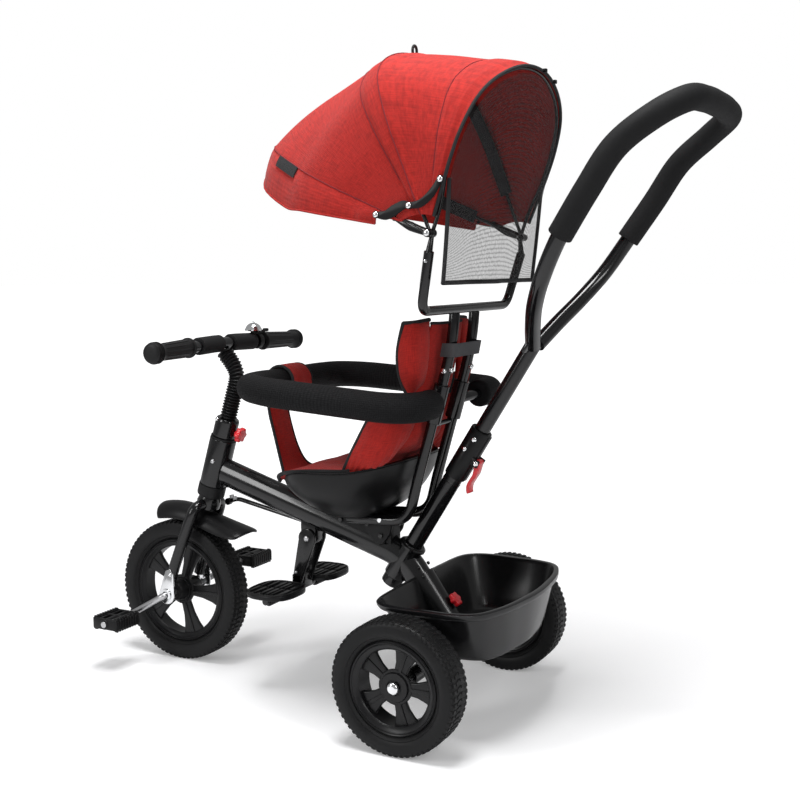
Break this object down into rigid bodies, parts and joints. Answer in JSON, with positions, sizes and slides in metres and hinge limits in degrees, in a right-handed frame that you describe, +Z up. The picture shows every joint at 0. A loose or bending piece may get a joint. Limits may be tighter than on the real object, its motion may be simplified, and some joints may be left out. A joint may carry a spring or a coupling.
{
  "type": "tricycle",
  "caption": "Child's push tricycle: pedalled front wheel, padded seat with guard ring, folding canopy, steerable push handle, footrest and rear basket.",
  "frame": {"origin": "on the ground, below the centre of the object's bounding box", "axes": "+Z up; -Y is the way the rider faces; +X is the rider's left"},
  "size_m": [0.4664, 1.0906, 1.0319],
  "materials": {
    "black_paint": "gloss",
    "black_plastic": "fine satin",
    "gloss_black_plastic": "gloss",
    "rubber": "matte",
    "tyre": "matte",
    "foam": "matte foam and knitted cover",
    "red_plastic": "satin",
    "red_cloth": "woven melange",
    "black_mesh": "open mesh",
    "grey_webbing": "woven elastic",
    "chrome": "polished",
    "steel": "satin"
  },
  "bodies": {
    "frame": {"main_frame": "black_paint", "upper_bushing": "black_plastic", "lower_bushing": "black_plastic", "rear_axle": "chrome", "seat_bracket": "black_plastic", "seat_shell": "black_plastic", "seat_liner": "red_cloth", "crotch_strap": "red_cloth", "backrest_frame": "black_paint", "elastic_strap": "grey_webbing", "canopy_bracket": "black_paint", "rear_basket": "gloss_black_plastic", "rear_hoop": "black_paint", "canopy_cover": "red_cloth", "mesh_window": "black_mesh"},
    "steering": {"fork": "black_paint", "bearing_plate_left": "chrome", "bearing_plate_right": "chrome", "front_fender": "black_plastic"},
    "handlebar": {"stem": "black_plastic", "stem_bellows": "rubber", "handlebar": "black_paint", "foam_sleeve_left": "foam", "foam_sleeve_right": "foam", "grip_left": "rubber", "grip_right": "rubber", "bell": "chrome"},
    "bell_lever": {"bell_lever": "black_plastic"},
    "stem_knob": {"stem_knob": "red_plastic"},
    "front_wheel": {"front_rim": "black_plastic", "front_tyre": "tyre", "crank_axle": "steel"},
    "pedal_left": {"pedal_left": "black_plastic"},
    "pedal_right": {"pedal_right": "black_plastic"},
    "rear_wheel_left": {"rear_rim_left": "black_plastic", "rear_tyre_left": "tyre"},
    "rear_wheel_right": {"rear_rim_right": "black_plastic", "rear_tyre_right": "tyre"},
    "handle": {"handle_tube": "black_paint", "handle_clamp": "black_plastic"},
    "push_handle": {"push_handle": "black_paint", "handle_foam": "foam"},
    "quick_release_lever": {"quick_release_lever": "red_plastic"},
    "steering_rod": {"steering_rod": "black_paint"},
    "footrest": {"footrest_arm": "black_paint", "foot_plate_left": "black_plastic", "foot_plate_right": "black_plastic"},
    "basket_knob": {"basket_knob": "red_plastic"},
    "guard_left": {"guard_arm_left": "black_paint", "guard_foam_left": "foam"},
    "guard_right": {"guard_arm_right": "black_paint", "guard_foam_right": "foam"},
    "snap_button_left": {"snap_button_left": "chrome"},
    "snap_button_right": {"snap_button_right": "chrome"},
    "mid_hoop": {"mid_hoop": "black_paint"},
    "front_hoop": {"front_hoop": "black_paint"},
    "stay_front_left": {"stay_front_left": "black_paint"},
    "stay_front_right": {"stay_front_right": "black_paint"},
    "stay_rear_left": {"stay_rear_left": "black_paint"},
    "stay_rear_right": {"stay_rear_right": "black_paint"}
  },
  "joints": [
    {"name": "steering", "type": "hinge", "parent": "frame", "child": "steering", "pos_m": [0, -0.3254, 0.401], "axis": [0, 0.2924, 0.9563], "range_deg": [-28, 28]},
    {"name": "handlebar_height", "type": "slide", "parent": "steering", "child": "handlebar", "axis": [0, 0.2924, 0.9563], "range_m": [0, 0.03]},
    {"name": "stem_knob_turn", "type": "hinge", "parent": "steering", "child": "stem_knob", "pos_m": [0, -0.29689, 0.42073], "axis": [0, 0.9563, -0.2924], "range_deg": [0, 360]},
    {"name": "bell_lever_push", "type": "hinge", "parent": "handlebar", "child": "bell_lever", "pos_m": [-0.0992, -0.30909, 0.59282], "axis": [0, 0, 1], "range_deg": [0, 22], "stiffness_Nm_per_rad": 0.05},
    {"name": "front_wheel_spin", "type": "hinge", "parent": "steering", "child": "front_wheel", "pos_m": [0, -0.4175, 0.1278], "axis": [1, 0, 0], "continuous": true},
    {"name": "pedal_left_spin", "type": "hinge", "parent": "front_wheel", "child": "pedal_left", "pos_m": [0.1115, -0.48851, 0.0868], "axis": [1, 0, 0], "continuous": true},
    {"name": "pedal_right_spin", "type": "hinge", "parent": "front_wheel", "child": "pedal_right", "pos_m": [-0.1115, -0.34649, 0.1688], "axis": [1, 0, 0], "continuous": true},
    {"name": "rear_wheel_left_spin", "type": "hinge", "parent": "frame", "child": "rear_wheel_left", "pos_m": [0.2072, 0.1336, 0.1016], "axis": [1, 0, 0], "continuous": true},
    {"name": "rear_wheel_right_spin", "type": "hinge", "parent": "frame", "child": "rear_wheel_right", "pos_m": [-0.2072, 0.1336, 0.1016], "axis": [1, 0, 0], "continuous": true},
    {"name": "handle_turn", "type": "hinge", "parent": "frame", "child": "handle", "pos_m": [0, 0.0502, 0.253], "axis": [0, 0.5307, 0.8476], "range_deg": [-28, 28]},
    {"name": "handle_height", "type": "slide", "parent": "handle", "child": "push_handle", "axis": [0, 0.5307, 0.8476], "range_m": [-0.04, 0.06]},
    {"name": "lever_release", "type": "hinge", "parent": "handle", "child": "quick_release_lever", "pos_m": [0, 0.16903, 0.40041], "axis": [1, 0, 0], "range_deg": [0, 105]},
    {"name": "rod_slide", "type": "slide", "parent": "frame", "child": "steering_rod", "axis": [0, -0.9717, 0.2361], "range_m": [-0.01295, 0.01295]},
    {"name": "footrest_fold", "type": "hinge", "parent": "frame", "child": "footrest", "pos_m": [0, -0.1414, 0.251], "axis": [1, 0, 0], "range_deg": [0, 80]},
    {"name": "basket_knob_turn", "type": "hinge", "parent": "frame", "child": "basket_knob", "pos_m": [0, 0.12295, 0.17068], "axis": [0, 0.7826, 0.6225], "range_deg": [0, 360]},
    {"name": "guard_left_swing", "type": "hinge", "parent": "frame", "child": "guard_left", "pos_m": [0.0365, 0.1156, 0.4955], "axis": [0, 0.2756, 0.9613], "range_deg": [0, 70]},
    {"name": "guard_right_swing", "type": "hinge", "parent": "frame", "child": "guard_right", "pos_m": [-0.0365, 0.1156, 0.4955], "axis": [0, -0.2756, -0.9613], "range_deg": [0, 70]},
    {"name": "snap_button_left_press", "type": "slide", "parent": "frame", "child": "snap_button_left", "axis": [-1, 0, 0], "range_m": [0, 0.0024], "stiffness_N_per_m": 400},
    {"name": "snap_button_right_press", "type": "slide", "parent": "frame", "child": "snap_button_right", "axis": [1, 0, 0], "range_m": [0, 0.0024], "stiffness_N_per_m": 400},
    {"name": "canopy_fold", "type": "hinge", "parent": "frame", "child": "mid_hoop", "pos_m": [0, 0.1716, 0.754], "axis": [-1, 0, 0], "range_deg": [0, 30], "deforming": ["canopy_cover"]},
    {"name": "front_hoop_fold", "type": "hinge", "parent": "mid_hoop", "child": "front_hoop", "pos_m": [0, 0.1716, 0.754], "axis": [-1, 0, 0], "range_deg": [0, 30]},
    {"name": "stay_front_left_turn", "type": "hinge", "parent": "front_hoop", "child": "stay_front_left", "pos_m": [0.184, 0.0918, 0.7816], "axis": [-1, 0, 0], "range_deg": [0, 42]},
    {"name": "stay_rear_left_turn", "type": "hinge", "parent": "frame", "child": "stay_rear_left", "pos_m": [0.186, 0.1951, 0.8271], "axis": [1, 0, 0], "range_deg": [0, 15]},
    {"name": "stay_front_right_turn", "type": "hinge", "parent": "front_hoop", "child": "stay_front_right", "pos_m": [-0.184, 0.0918, 0.7816], "axis": [-1, 0, 0], "range_deg": [0, 42]},
    {"name": "stay_rear_right_turn", "type": "hinge", "parent": "frame", "child": "stay_rear_right", "pos_m": [-0.186, 0.1951, 0.8271], "axis": [1, 0, 0], "range_deg": [0, 15]}
  ],
  "couplings": [
    {"joint": "handle_turn", "follows": "steering", "ratio": 1},
    {"joint": "rod_slide", "follows": "steering", "m_per_rad": 0.0265},
    {"joint": "front_hoop_fold", "follows": "canopy_fold", "ratio": 1},
    {"joint": "stay_front_left_turn", "follows": "canopy_fold", "ratio": 1.38},
    {"joint": "stay_rear_left_turn", "follows": "canopy_fold", "ratio": 0.49},
    {"joint": "stay_front_right_turn", "follows": "canopy_fold", "ratio": 1.38},
    {"joint": "stay_rear_right_turn", "follows": "canopy_fold", "ratio": 0.49}
  ]
}
